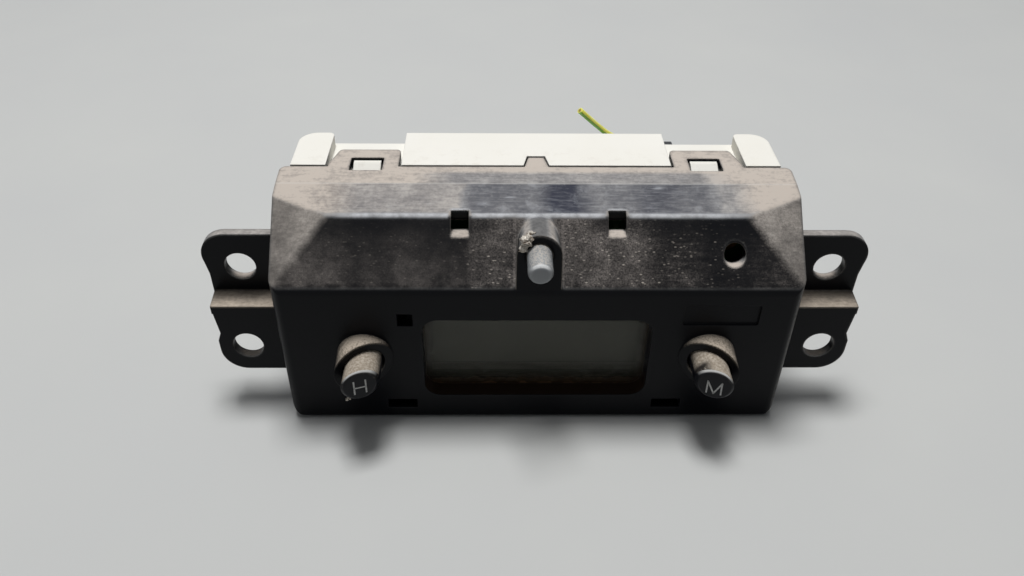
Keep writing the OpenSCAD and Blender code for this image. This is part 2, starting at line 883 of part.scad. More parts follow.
// Screwdriver adjuster on the board, where the axis of the hole in the brow meets it
module rate_trimmer() {
    trimmer_r = 2.6;
    trimmer_h = 2;
    slot_half = 0.35;
    slot_depth = 0.6;
    front = board_y - trimmer_h;
    trimmer_z = adjuster_z - (front - adjuster_y) * tan(adjuster_dip);
    color("#8c6b3e") set_in_frame() difference() {
        bar_y(adjuster_x, trimmer_z, front, board_y, trimmer_r);
        block([adjuster_x - trimmer_r / 2, front - through, trimmer_z - slot_half],
            [adjuster_x + trimmer_r / 2, front + slot_depth, trimmer_z + slot_half]);
    }
}

// Flat pack with a row of bent legs along two sides
module controller_chip() {
    chip = [10, 2.2, 12];
    stand_off = 0.2;
    legs = 12;
    leg_pitch = 0.9;
    leg_w = 0.4;
    leg_out = 1.4;
    chip_x = -6;
    chip_z = 20;
    edge = chip[0] / 2;
    color("#222224") set_in_frame() translate([chip_x, board_back, chip_z]) {
        block([-edge, stand_off, -chip[2] / 2], [edge, chip[1], chip[2] / 2]);
        both_sides()
            for (i = [0 : legs - 1])
                translate([0, 0, (i - (legs - 1) / 2) * leg_pitch])
                    block([edge - fuse, 0, -leg_w / 2], [edge + leg_out, leg_w, leg_w / 2]);
    }
}

// Low metal can on a flange
module quartz_crystal() {
    can_l = 10.6;
    can_w = 4.4;
    can_h = 3.6;
    crystal_x = -24;
    crystal_z = 22;
    color("#c9ccd0") set_in_frame() {
        along_y(board_back, board_back + can_h)
            slab([crystal_x, crystal_z], [can_l, can_w], can_w / 2 - fit);
        along_y(board_back, board_back + 0.5)
            slab([crystal_x, crystal_z], [can_l + 1, can_w + 1], can_w / 2);
    }
}

// Upright can with its crimp groove near the board
module smoothing_capacitor() {
    can_r = 4;
    can_h = 11.5;
    groove = 0.5;
    capacitor_x = plug_x + 12.6;
    capacitor_z = plug_z - 15.2;
    color("#28324a") set_in_frame() translate([capacitor_x, board_back, capacitor_z])
        rotate([-90, 0, 0]) rotate_extrude()
            polygon([[0, 0], [can_r, 0], [can_r, 1.5], [can_r - groove, 2], [can_r, 2.5],
                [can_r, can_h], [0, can_h]]);
}

// Power transistor lying on its cooling tab
module voltage_regulator() {
    regulator_x = 12;
    regulator_z = 18;
    body = [6.6, 2.3, 6];
    metal_t = 0.6;
    tab_w = 5.4;
    tab_out = 1.6;
    leg_w = 0.8;
    leg_out = 2.4;
    leg_x = 2.3;
    low = body[2] / 2;
    color("#2a2a2c") set_in_frame() translate([regulator_x, board_back, regulator_z]) {
        block([-body[0] / 2, 0, -low], [body[0] / 2, body[1], low]);
        block([-tab_w / 2, 0, low - fuse], [tab_w / 2, metal_t, low + tab_out]);
        for (x = [-leg_x, leg_x])
            block([x - leg_w / 2, 0, -low - leg_out], [x + leg_w / 2, metal_t, -low + fuse]);
    }
}

module chip_resistors() {
    resistors = 7;
    first_x = -28;
    resistor_step = 9;
    resistor_z = 10;
    size = [1.6, 0.6, 3.2];
    color("#303236") set_in_frame()
        for (i = [0 : resistors - 1])
            translate([first_x + i * resistor_step, board_back, resistor_z])
                block([-size[0] / 2, 0, -size[2] / 2], [size[0] / 2, size[1], size[2] / 2]);
}

module connector_header() {
    color("#e0dccb") set_in_frame() difference() {
        along_y(board_back, header_back) slab([plug_x, plug_z], [plug_w - 1, plug_h - 1], 0.4);
        pin_places() pin(board_back - through, header_back + through, pin_w + fit);
    }
}

module connector_pins() {
    color("#c8b06a") set_in_frame() pin_places() pin(board_y - pin_tail, pin_end, pin_w);
}

module board_screws() {
    recess = 0.8;
    color("#b5b6b8") set_in_frame() both_sides() for (z = boss_heights)
        difference() {
            union() {
                bar_y(boss_x, z, board_back - screw_l, board_back + fuse, screw_r);
                bar_y(boss_x, z, board_back, board_back + head_t, head_r);
            }
            for (turn = [0, 90])
                translate([boss_x, board_back + head_t - recess, z]) rotate([0, turn, 0])
                    block([-1.3, 0, -0.3], [1.3, head_t, 0.3]);
        }
}

// Harness plug: body, rear flange, latch lever underneath and a hole for each wire
module harness_plug() {
    flange_front = housing_d + 1;
    flange_back = flange_front + 2;
    flange_proud = 0.6;
    lever_w = 7;
    lever_t = 1.1;
    lever_gap = 0.8;
    root_z = plug_z - plug_h / 2;
    lever_top = root_z - lever_gap;
    lever_low = lever_top - lever_t;
    grip_low = lever_low - lever_t;
    color("#1f2022") set_in_frame() difference() {
        union() {
            along_y(plug_front, plug_back) slab([plug_x, plug_z], [plug_w, plug_h], 0.4);
            along_y(flange_front, flange_back)
                slab([plug_x, plug_z], [plug_w, plug_h] + 2 * [flange_proud, flange_proud], 0.6);
            along_x(plug_x - lever_w / 2, plug_x + lever_w / 2)
                polygon([[flange_front, root_z + fuse], [flange_front, lever_low],
                    [plug_back - 3, lever_low], [plug_back - 2, grip_low], [plug_back, grip_low],
                    [plug_back, lever_top], [flange_back, lever_top], [flange_back, root_z + fuse]]);
        }
        pin_places() pin(plug_front - through, pin_end + through, cavity_w);
        pin_places() bar_y(0, 0, plug_back - entry_depth, plug_back + through, entry_r);
    }
}

// Tube swept along a route: a ring of points at each route point, square to the route there
function route_way(route, i) = unit(
    route[min(i + 1, len(route) - 1)] - route[max(i - 1, 0)]
);

function ring(centre, way, r, sides) = let (
    across = unit(cross(way, [0, 0, 1])),
    rise = cross(across, way)
) [for (k = [0 : sides - 1]) centre + r * (cos(360 * k / sides) * across + sin(360 * k / sides) * rise)];

module tube(route, r, sides) {
    rings = len(route);
    points = [for (i = [0 : rings - 1]) each ring(route[i], route_way(route, i), r, sides)];
    walls = [
        for (i = [0 : rings - 2])
            for (k = [0 : sides - 1])
                let (a = i * sides + k, b = i * sides + (k + 1) % sides)
                each [[a, b, b + sides], [a, b + sides, a + sides]]
    ];
    first_cap = [for (k = [sides - 1 : -1 : 0]) k];
    last_cap = [for (k = [0 : sides - 1]) (rings - 1) * sides + k];
    polyhedron(points, concat(walls, [first_cap, last_cap]));
}

module harness_wire() {
    color("#c9c02f") set_in_frame() tube(wire_route, wire_d / 2, wire_sides);
}

front_cover();
rear_case();
window_lens();
lcd_panel();
lcd_frame();
upper_contact_strip();
lower_contact_strip();
light_guide();
reflector();
backlight_lamps();
circuit_board();
hour_button();
minute_button();
hour_switch();
minute_switch();
hour_switch_plunger();
minute_switch_plunger();
indicator_light_pipe();
indicator_led();
rate_trimmer();
controller_chip();
quartz_crystal();
smoothing_capacitor();
voltage_regulator();
chip_resistors();
connector_header();
connector_pins();
board_screws();
harness_plug();
harness_wire();
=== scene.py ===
import math
import random

import bmesh
import bpy
from mathutils import Matrix, Vector, noise


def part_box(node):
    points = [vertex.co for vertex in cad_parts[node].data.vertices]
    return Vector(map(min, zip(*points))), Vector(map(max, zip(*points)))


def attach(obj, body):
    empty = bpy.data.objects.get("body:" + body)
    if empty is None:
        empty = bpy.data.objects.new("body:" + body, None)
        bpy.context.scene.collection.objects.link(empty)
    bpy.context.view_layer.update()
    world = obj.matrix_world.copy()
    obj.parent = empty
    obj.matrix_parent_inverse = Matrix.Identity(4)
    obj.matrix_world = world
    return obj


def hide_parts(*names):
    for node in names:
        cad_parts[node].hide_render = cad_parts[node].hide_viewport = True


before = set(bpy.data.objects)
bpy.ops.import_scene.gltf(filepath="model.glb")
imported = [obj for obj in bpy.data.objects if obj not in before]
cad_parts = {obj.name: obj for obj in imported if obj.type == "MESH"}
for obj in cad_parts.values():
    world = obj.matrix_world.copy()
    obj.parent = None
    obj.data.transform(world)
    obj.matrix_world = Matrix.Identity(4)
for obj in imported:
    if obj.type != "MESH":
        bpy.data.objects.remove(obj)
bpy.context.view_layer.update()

# Viewpoint
# The photograph was taken from in front of the clock, looking down on it. Place, angles and
# lens were solved from the straight edges of the cover.
MM = 0.001
camera_place = Vector((-8.25, -155.04, 143.66)) * MM
camera_pitch = math.radians(38.14)
camera_yaw = math.radians(1.22)
camera_roll = math.radians(0.80)
forward = Vector((
    math.sin(camera_yaw) * math.cos(camera_pitch),
    math.cos(camera_yaw) * math.cos(camera_pitch),
    -math.sin(camera_pitch),
))
level = Vector((math.cos(camera_yaw), -math.sin(camera_yaw), 0))
upward = level.cross(forward)
picture_right = level * math.cos(camera_roll) + upward * math.sin(camera_roll)
picture_up = upward * math.cos(camera_roll) - level * math.sin(camera_roll)
camera = bpy.data.objects.new("camera", bpy.data.cameras.new("camera"))
camera.data.sensor_width = 36
camera.data.lens = 30.45
camera.data.clip_start = 10 * MM
camera.matrix_world = (
    Matrix.Translation(camera_place)
    @ Matrix((picture_right, picture_up, -forward)).transposed().to_4x4()
)
bpy.context.scene.collection.objects.link(camera)
bpy.context.scene.camera = camera
bpy.context.scene.view_settings.view_transform = "Standard"


# Floor and light
# The clock stands on a plain pale floor. A soft lamp hangs high behind it and puts a sheen on its
# top, a weaker wide one hangs over it, and a dim even sky fills the face, which lies in shade.
def linear(code):
    """Linear colour of an sRGB hex code."""
    parts = [int(code[i:i + 2], 16) / 255 for i in (1, 3, 5)]
    return [c / 12.92 if c <= 0.04045 else ((c + 0.055) / 1.055) ** 2.4 for c in parts] + [1.0]


def add(tree, kind, inputs=None, out=0, **settings):
    """Adds a shader node; inputs gives its sockets a value or a link. Returns one of its outputs."""
    made = tree.nodes.new("ShaderNode" + kind)
    for name, value in settings.items():
        setattr(made, name, value)
    for socket, value in (inputs or {}).items():
        if isinstance(value, bpy.types.NodeSocket):
            tree.links.new(value, made.inputs[socket])
        else:
            made.inputs[socket].default_value = value
    return made.outputs[out]


def start_material(name):
    """New material; returns it, its node tree, its shader and the place on it in millimetres."""
    material = bpy.data.materials.new(name)
    material.use_nodes = True
    tree = material.node_tree
    metres = add(tree, "TexCoord", out="Object")
    place = add(tree, "VectorMath", {0: metres, "Scale": 1 / MM}, operation="SCALE")
    return material, tree, tree.nodes["Principled BSDF"], place


def finish_material(name, first, second, patch, roughness, metallic=0.0, relief=0.02):
    """Material whose colour, gloss and relief wander between two tones; patch and relief in mm."""
    material, tree, surface, place = start_material(name)
    cloud = add(tree, "TexNoise", {"Vector": place, "Scale": 1 / patch, "Detail": 4})
    share = add(tree, "MapRange", {"Value": cloud, "From Min": 0.3, "From Max": 0.7})
    tone = add(tree, "Mix", {0: share, 6: linear(first), 7: linear(second)}, 2, data_type="RGBA")
    gloss = add(tree, "MapRange", {"Value": share, "To Min": roughness * 0.85,
                                   "To Max": roughness * 1.15})
    bump = add(tree, "Bump", {"Height": share, "Distance": relief * MM, "Strength": 0.5})
    tree.links.new(tone, surface.inputs["Base Color"])
    tree.links.new(gloss, surface.inputs["Roughness"])
    tree.links.new(bump, surface.inputs["Normal"])
    surface.inputs["Metallic"].default_value = metallic
    return material


def new_piece(name, form, material):
    """Object made from a bmesh, in the part's frame."""
    mesh = bpy.data.meshes.new(name)
    form.to_mesh(mesh)
    form.free()
    made = bpy.data.objects.new(name, mesh)
    mesh.materials.append(material)
    bpy.context.scene.collection.objects.link(made)
    return made


# Matt paper: pale, with a barely seen mottle.
floor_paper = finish_material("matt_floor_paper", "#C3C4C3", "#C8C9C7",
                              patch=60, roughness=0.9, relief=0.0)
floor_half = 3.0
floor_drop = 0.05 * MM
form = bmesh.new()
bmesh.ops.create_grid(form, x_segments=1, y_segments=1, size=floor_half)
floor = new_piece("floor", form, floor_paper)
floor.location.z = -floor_drop

# Name, place, width and power of each lamp
lamps = [
    ("rear_softbox", Vector((-0.05, 0.14, 1.05)), 0.3, 9.2),
    ("overhead_softbox", Vector((-0.10, 0.10, 1.10)), 1.1, 1.65),
]
for name, lamp_place, lamp_width, lamp_watts in lamps:
    lamp = bpy.data.objects.new(name, bpy.data.lights.new(name, "AREA"))
    lamp.data.size = lamp_width
    lamp.data.energy = lamp_watts
    lamp.location = lamp_place
    lamp.rotation_mode = "QUATERNION"
    lamp.rotation_quaternion = (-lamp_place).to_track_quat("-Z", "Y")
    bpy.context.scene.collection.objects.link(lamp)

sky_fill = 0.12
world = bpy.data.worlds.new("soft_sky")
world.use_nodes = True
bpy.context.scene.world = world
tree = world.node_tree
sky = tree.nodes["Background"]
seen = 0.0
for kind in ("Is Camera Ray", "Is Glossy Ray", "Is Transmission Ray"):
    ray = add(tree, "LightPath", out=kind)
    seen = add(tree, "Math", {0: seen, 1: ray}, operation="ADD", use_clamp=True)
strength = add(tree, "MapRange", {"Value": seen, "To Min": sky_fill, "To Max": 1.0})
tree.links.new(strength, sky.inputs["Strength"])
sky.inputs["Color"].default_value = linear("#D3D6DA")


# Front cover
# The cover is one injection moulding in black ABS with a fine spark-eroded grain. It has lain
# open in a workshop, so every ledge that looks up holds grey-brown dust and a little grit.
def zones(tree, limits):
    """Masks that rise from 0 to 1 between two values of a socket, several multiplied into one."""
    made = {}
    for name, ranges in limits.items():
        mask = 1.0
        for value, start, full in ranges:
            rise = add(tree, "MapRange", {"Value": value, "From Min": start, "From Max": full})
            mask = add(tree, "Math", {0: mask, 1: rise}, operation="MULTIPLY")
        made[name] = mask
    return made


def thinned(tree, amount, thinning):
    """Amount of dust with a share of it left in each zone."""
    for mask, left in thinning:
        kept = add(tree, "MapRange", {"Value": mask, "To Min": 1.0, "To Max": left})
        amount = add(tree, "Math", {0: amount, 1: kept}, operation="MULTIPLY")
    return amount


def stepped(tree, value, first, steps):
    """Share that moves on to the next one between two values of a socket."""
    share = first
    for start, full, following in steps:
        rise = add(tree, "MapRange", {"Value": value, "From Min": start, "From Max": full})
        share = add(tree, "Mix", {0: rise, 2: share, 3: following})
    return share


cover_abs, tree, surface, place = start_material("grained_black_abs_dusty")
x, y, z = add(tree, "SeparateXYZ", {0: place}).node.outputs
aside = add(tree, "Math", {0: x}, operation="ABSOLUTE")
edge_radius = 0.3
look = add(tree, "NewGeometry", out="Normal")
softened = add(tree, "Bevel", {"Radius": edge_radius * MM}, samples=6)
turn = add(tree, "VectorMath", {0: softened, 1: look}, "Value", operation="DOT_PRODUCT")
edge = add(tree, "MapRange", {"Value": turn, "From Min": 0.995, "From Max": 0.85})

# Dust sees the edges of the upper part as worn round, so it fades across them.
worn_radius = 1.3
worn_look = add(tree, "Bevel", {"Radius": worn_radius * MM}, samples=10)
worn_facing = add(tree, "SeparateXYZ", {0: worn_look}).node.outputs
up = worn_facing["Z"]
ahead = worn_facing["Y"]
side_look = add(tree, "Math", {0: worn_facing["X"]}, operation="ABSOLUTE")

# Dust lies in drifts of about a centimetre, with smudges, a fine break-up and streaks in it.
# Sizes are in mm.
drift_size = 9
smudge_size = 3.2
break_up_size = 0.9
streak_size = 0.6
drift = add(tree, "TexNoise", {"Vector": place, "Scale": 1 / drift_size, "Detail": 5,
                               "Roughness": 0.6})
break_up = add(tree, "TexNoise", {"Vector": place, "Scale": 1 / break_up_size, "Detail": 5,
                                  "Roughness": 0.75})
stretched = add(tree, "Mapping", {"Vector": place, "Scale": (0.15, 1, 1)})
streaks = add(tree, "TexNoise", {"Vector": stretched, "Scale": 1 / streak_size, "Detail": 4,
                                 "Roughness": 0.65})
wander = add(tree, "MapRange", {"Value": drift, "From Min": 0.3, "From Max": 0.7,
                                "To Min": -1.0, "To Max": 1.0})
x_step = add(tree, "Math", {0: x, 1: wander}, operation="ADD")
smudges = add(tree, "TexNoise", {"Vector": place, "Scale": 1 / smudge_size, "Detail": 5,
                                 "Roughness": 0.6})
ragged = add(tree, "MapRange", {"Value": smudges, "From Min": 0.3, "From Max": 0.7,
                                "To Min": -0.8, "To Max": 0.8})
z_step = add(tree, "Math", {0: z, 1: ragged}, operation="ADD")

# Distance beyond the edge between brow and facet, in mm; the dust thickens across it
facet_way = (0.722, 0, 0.692)
facet_edge = 64.0
outward = add(tree, "CombineXYZ", {"X": aside, "Z": z})
past_edge = add(tree, "VectorMath", {0: outward, 1: facet_way}, "Value", operation="DOT_PRODUCT")
past_edge = add(tree, "Math", {0: past_edge, 1: facet_edge}, operation="SUBTRACT")

# Where each kind of dust or wear lies, by place in mm and by the way that the surface looks
zone = zones(tree, {
    "top": [(up, 0.86, 0.95), (z, 46.8, 47.4)],
    "behind_crease": [(y, -1.2, -0.8)],
    "rear_line": [(y, 2.2, 3.4)],
    "crease": [(y, -1.3, -1.05), (y, -0.7, -0.95), (z, 49.5, 49.8)],
    # brow and facets together
    "brow": [(ahead, -0.45, -0.6), (up, 0.4, 0.52), (up, 0.84, 0.76), (z, 34.4, 35.0),
             (aside, 54.6, 54.3)],
    "onto_facet": [(past_edge, -1.0, 0.6)],
    "brow_right": [(x_step, 20, 25)],
    "hood_line": [(aside, 5.25, 5.0), (aside, 4.45, 4.65)],
    "brow_middle": [(x_step, -15.5, -13.5), (x_step, 26, 20)],
    "under_edge": [(z_step, 44.6, 46.4)],
    "by_hood": [(aside, 11, 7)],
    "brow_end": [(z_step, 37.4, 36.0)],
    "brow_foot": [(z, 36.6, 36.0), (z, 33.6, 34.2), (aside, 54.6, 54.3)],
    # the brow's upper edge is rubbed bare, and a painted highlight lies along it
    "rubbed_edge_and_highlight": [(up, 0.64, 0.76), (up, 0.976, 0.94), (z, 46.4, 47.0), (y, -11.3, -10.8),
                    (y, -7.5, -8.2), (side_look, 0.2, 0.1), (aside, 46.5, 37), (smudges, 0.1, 0.55)],
    "hood_middle": [(aside, 2.8, 1.2), (z, 46.4, 47.2), (y, -10.2, -10.8)],
    "hood_roof": [(aside, 4.9, 4.6), (z, 43, 44), (y, -10.4, -11)],
    "hood": [(aside, 5.2, 4.9), (z, 35.5, 36.5), (y, -11.6, -12.2)],
    "face": [(z, 35.5, 34.5), (aside, 53.2, 52.8)],
    "face_holes": [(y, -19.5, -19.35), (z, 35, 34.5), (aside, 52.5, 52), (y, -13, -14)],
    "window_sill": [(aside, 24.6, 24.2), (z, 6.2, 6.8), (z, 12, 9), (y, -19.2, -19.0), (y, -13, -14)],
    "ledge": [(aside, 54, 54.5), (z, 29, 28), (z, 21, 22)],
    "ear_top": [(aside, 54.2, 54.5), (z, 37.5, 38.5)],
    "upper_part": [(z, 36.5, 37.5), (aside, 54.4, 54.1)],
    # the face's right corner has been knocked and scraped
    "right_corner": [(x, 52, 52.6), (ahead, -0.4, -0.6), (ahead, -0.92, -0.75), (z, 38, 36),
                     (break_up, 0.3, 0.6)],
})

# Hands have wiped the top most in the middle, and the brow most at its right end. Each step
# gives the places along the width between which the dust changes, and its amount after them.
top_share = stepped(tree, x_step, 1.1, [
    (-47, -37, 0.7), (-15.5, -13.5, 0.3), (0, 3, 0.05), (8, 12, 0.38), (19, 22, 0.2), (27, 31, 0.3),
    (34, 38, 0.6), (40, 46, 1.0),
])
rear_share = stepped(tree, x_step, 0.95, [(-26, -18, 0.62), (34, 42, 0.95)])
brow_share = stepped(tree, x_step, 0.36, [
    (-42, -37, 0.18), (-32, -28, 0.28), (-25, -21, 0.22), (-15, -13.5, 0.4), (5, 9, 0.44),
    (20, 25, 0.16), (31, 35, 0.04), (42, 47, 0.12),
])
# On the middle of the brow dust is thickest at the top, at its ends near the face.
high_middle = add(tree, "MapRange", {"Value": z, "From Min": 37, "From Max": 46,
                                     "To Min": 0.78, "To Max": 1.3})
high_end = add(tree, "MapRange", {"Value": z, "From Min": 38, "From Max": 45,
                                  "To Min": 1.15, "To Max": 0.45})
by_height = add(tree, "Mix", {0: zone["brow_middle"], 2: high_end, 3: high_middle})
brow_share = add(tree, "Math", {0: brow_share, 1: by_height}, operation="MULTIPLY")
away_from_hood = add(tree, "Math", {0: 1.0, 1: zone["by_hood"]}, operation="SUBTRACT")
clean_strip = add(tree, "Math", {0: zone["under_edge"], 1: away_from_hood}, operation="MULTIPLY")
brow_share = thinned(tree, brow_share, [(clean_strip, 0.35)])
brow_share = add(tree, "Mix", {0: zone["hood_line"], 2: brow_share, 3: 0.8})
facet_share = add(tree, "MapRange", {"Value": z, "From Min": 37, "From Max": 47,
                                     "To Min": 0.3, "To Max": 0.66})
from_edge = add(tree, "MapRange", {"Value": past_edge, "From Min": 0, "From Max": 7,
                                   "To Min": 1.3, "To Max": 0.8})
facet_share = add(tree, "Math", {0: facet_share, 1: from_edge}, operation="MULTIPLY")
brow_share = add(tree, "Mix", {0: zone["onto_facet"], 2: brow_share, 3: facet_share})
brow_share = thinned(tree, brow_share, [(zone["brow_end"], 0.04)])

lying = add(tree, "MapRange", {"Value": up, "From Min": 0.3, "From Max": 0.9})
# Dust on the ear ledges thins towards the back, under the upper plate: that darkening is painted shade.
ledge_dust_and_shade = add(tree, "MapRange", {"Value": y, "From Min": -9, "From Max": -13,
                                     "To Min": 0.25, "To Max": 0.75})
lying = thinned(tree, lying, [
    (zone["face_holes"], 0.0), (zone["ledge"], ledge_dust_and_shade), (zone["ear_top"], 0.7),
    (zone["hood_middle"], 0.35), (zone["brow_foot"], 0.0),
])
top_share = add(tree, "Mix", {0: zone["behind_crease"], 2: top_share, 3: rear_share})
top_share = add(tree, "Mix", {0: zone["rear_line"], 2: top_share, 3: 1.0})
on_top = thinned(tree, zone["top"], [(zone["hood_roof"], 0.0)])
for mask, share in ((on_top, top_share), (zone["brow"], brow_share), (zone["rubbed_edge_and_highlight"], 0.12)):
    lying = add(tree, "Mix", {0: mask, 2: lying, 3: share})
thick = add(tree, "MapRange", {"Value": lying, "From Min": 0.5, "From Max": 0.95})
inner_brow = thinned(tree, zone["brow"], [(zone["onto_facet"], 0.0)])
right_brow = add(tree, "Math", {0: inner_brow, 1: zone["brow_right"]}, operation="MULTIPLY")
for pattern, spread, where, spread_there in (
    (drift, 0.18, inner_brow, 0.4), (smudges, 0.16, inner_brow, 0.4), (break_up, 0.2, right_brow, 0.3),
    (streaks, 0.14, right_brow, 0.5),
):
    spread = add(tree, "Mix", {0: where, 2: spread, 3: spread_there})
    rough = add(tree, "MapRange", {"Value": pattern, "From Min": 0.35, "From Max": 0.65, "To Min": -1.0})
    rough = add(tree, "Math", {0: rough, 1: spread, 2: 1.0}, operation="MULTIPLY_ADD")
    lying = add(tree, "Math", {0: lying, 1: rough}, operation="MULTIPLY")

# On the brow the dust is packed sand: grains of about 0.3 mm with dark gaps between them.
sand_size = 0.34
sand = add(tree, "TexNoise", {"Vector": place, "Scale": 1 / sand_size, "Detail": 2, "Roughness": 0.7})
sand = add(tree, "MapRange", {"Value": sand, "From Min": 0.36, "From Max": 0.64,
                              "To Min": 0.35, "To Max": 1.65})
sand_share = stepped(tree, x_step, 0.35, [(-15.5, -13.5, 0.9)])
sand_share = add(tree, "Math", {0: sand_share, 1: zone["brow"]}, operation="MULTIPLY")
sand_share = thinned(tree, sand_share, [(zone["onto_facet"], 0.3)])
sand_share = add(tree, "Mix", {0: zone["face"], 2: sand_share, 3: 0.8})
sand = add(tree, "Mix", {0: sand_share, 2: 1.0, 3: sand})
dust = add(tree, "Math", {0: lying, 1: sand}, operation="MULTIPLY", use_clamp=True)

# Single pale grains, longer along the width, lie about half a millimetre apart, most of them
# right of the hood.
grain_apart = 0.55
drawn_out = add(tree, "Mapping", {"Vector": place, "Scale": (0.5, 1, 1)})
cells = add(tree, "TexVoronoi", {"Vector": drawn_out, "Scale": 1 / grain_apart}).node.outputs
grain_share = stepped(tree, x_step, 0.15, [
    (-15.5, -13.5, 0.8), (3, 6, 1.0), (21, 27, 0.4), (36, 42, 0.12),
])
grains = zones(tree, {"seen": [(cells["Distance"], 0.3, 0.16), (cells["Color"], 0.4, 0.75),
                               (inner_brow, 0.2, 0.9), (smudges, 0.3, 0.55)]})["seen"]
grains = add(tree, "Math", {0: grains, 1: grain_share}, operation="MULTIPLY")
grains = thinned(tree, grains, [(clean_strip, 0.2), (zone["brow_end"], 0.15)])

# The bare plastic is blue-black, smudged and scuffed grey in streaks along the clock's width.
scuffs = 0.0
for mark, start, full, most in ((streaks, 0.48, 0.72, 0.4), (smudges, 0.56, 0.7, 0.55),
                                (break_up, 0.6, 0.68, 0.5)):
    mark = add(tree, "MapRange", {"Value": mark, "From Min": start, "From Max": full, "To Max": most})
    scuffs = add(tree, "Math", {0: scuffs, 1: mark}, operation="MAXIMUM")
# A few pale rubs on the top: place, and half their length along the width, in mm
rub_depth = 0.8
for rub_x, rub_y, rub_half in ((-21.9, -7.0, 1.1), (-11.0, -6.9, 2.2), (-5.7, -4.9, 1.8),
                               (24.8, -2.2, 2.4), (22.9, -7.8, 1.6)):
    across = add(tree, "Math", {0: x, 1: rub_x}, operation="SUBTRACT")
    across = add(tree, "Math", {0: across, 1: rub_half}, operation="DIVIDE")
    along = add(tree, "Math", {0: y, 1: rub_y}, operation="SUBTRACT")
    along = add(tree, "Math", {0: along, 1: rub_depth}, operation="DIVIDE")
    off = add(tree, "CombineXYZ", {"X": across, "Y": along})
    off = add(tree, "VectorMath", {0: off}, "Value", operation="LENGTH")
    rub = zones(tree, {"seen": [(off, 1.0, 0.2), (streaks, 0.4, 0.6)]})["seen"]
    scuffs = add(tree, "Math", {0: scuffs, 1: rub}, operation="MAXIMUM")
scuffs = add(tree, "Math", {0: scuffs, 1: on_top}, operation="MULTIPLY")
rubbed_and_highlight = add(tree, "Math", {0: zone["rubbed_edge_and_highlight"], 1: 0.85}, operation="MULTIPLY")
crease = add(tree, "Math", {0: zone["crease"], 1: 0.3}, operation="MULTIPLY")
worn_share = add(tree, "Mix", {0: zone["hood"], 2: 0.35, 3: 0.9})
worn = add(tree, "Math", {0: edge, 1: worn_share}, operation="MULTIPLY")
worn = thinned(tree, worn, [(zone["face"], 0.1), (zone["face_holes"], 0.0), (zone["brow_foot"], 0.1)])
scraped = add(tree, "Math", {0: zone["right_corner"], 1: 0.5}, operation="MULTIPLY")
dirt = add(tree, "Math", {0: zone["window_sill"], 1: 0.5}, operation="MULTIPLY")

# On the top the bare plastic is painted lighter and bluer than on the face: a painted sheen. Dust is
# beige where it is thick on top, grey where it is thin, and grey-brown on the brow.
colour = add(tree, "Mix", {0: on_top, 6: linear("#090A0E"), 7: linear("#1D2133")}, 2, data_type="RGBA")
# The rubbed brow edge is painted near white: bare plastic with a painted highlight on its rounding.
for share, tone in ((scuffs, "#8D9097"), (rubbed_and_highlight, "#D2D4D8"), (worn, "#8A837A"), (scraped, "#8F8C88"),
                    (dirt, "#3B2B1E")):
    colour = add(tree, "Mix", {0: share, 6: colour, 7: linear(tone)}, 2, data_type="RGBA")
dust_colour = add(tree, "Mix", {0: thick, 6: linear("#ABAAA9"), 7: linear("#C4BAB0")}, 2,
                  data_type="RGBA")
brow_colour = add(tree, "Mix", {0: zone["onto_facet"], 6: linear("#7F7975"), 7: linear("#AFA8A1")}, 2,
                  data_type="RGBA")
for mask, tone in ((zone["brow"], brow_colour), (zone["face"], linear("#B6AA9B")),
                   (zone["ledge"], linear("#C2B5A5"))):
    dust_colour = add(tree, "Mix", {0: mask, 6: dust_colour, 7: tone}, 2, data_type="RGBA")
colour = add(tree, "Mix", {0: dust, 6: colour, 7: dust_colour}, 2, data_type="RGBA")
for share, tone in ((crease, "#D5D2CD"), (grains, "#BEB6AC")):
    colour = add(tree, "Mix", {0: share, 6: colour, 7: linear(tone)}, 2, data_type="RGBA")
tree.links.new(colour, surface.inputs["Base Color"])

# The fine grain takes most of the plastic's shine: bare it is satin, under dust it is dull.
gloss = add(tree, "MapRange", {"Value": dust, "To Min": 0.32, "To Max": 0.95})
tree.links.new(gloss, surface.inputs["Roughness"])
surface.inputs["IOR"].default_value = 1.53
surface.inputs["Specular IOR Level"].default_value = 0.1

# The moulded grain is about 0.15 mm, drawn at 0.35 mm so that it shows.
grain_size = 0.35
grain_depth = 0.06
grain = add(tree, "TexNoise", {"Vector": place, "Scale": 1 / grain_size, "Detail": 2})
relief = add(tree, "Math", {0: grain, 1: grains}, operation="ADD")
rounded = add(tree, "Mix", {0: zone["upper_part"], 4: softened, 5: worn_look}, 1, data_type="VECTOR")
relief = add(tree, "Bump", {"Height": relief, "Normal": rounded, "Distance": grain_depth * MM,
                            "Strength": 0.4})
tree.links.new(relief, surface.inputs["Normal"])


def dress(material, *names):
    """Gives CAD nodes their material."""
    for name in names:
        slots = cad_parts[name].data.materials
        slots.clear()
        slots.append(material)


dress(cover_abs, "front_cover")


# Window and display
# A clear acrylic window and the liquid crystal cell lie on the cover's rim, kept there by a black
# holder. Switched off, the cell is a blank grey-green, and brown dirt has settled at its sill.

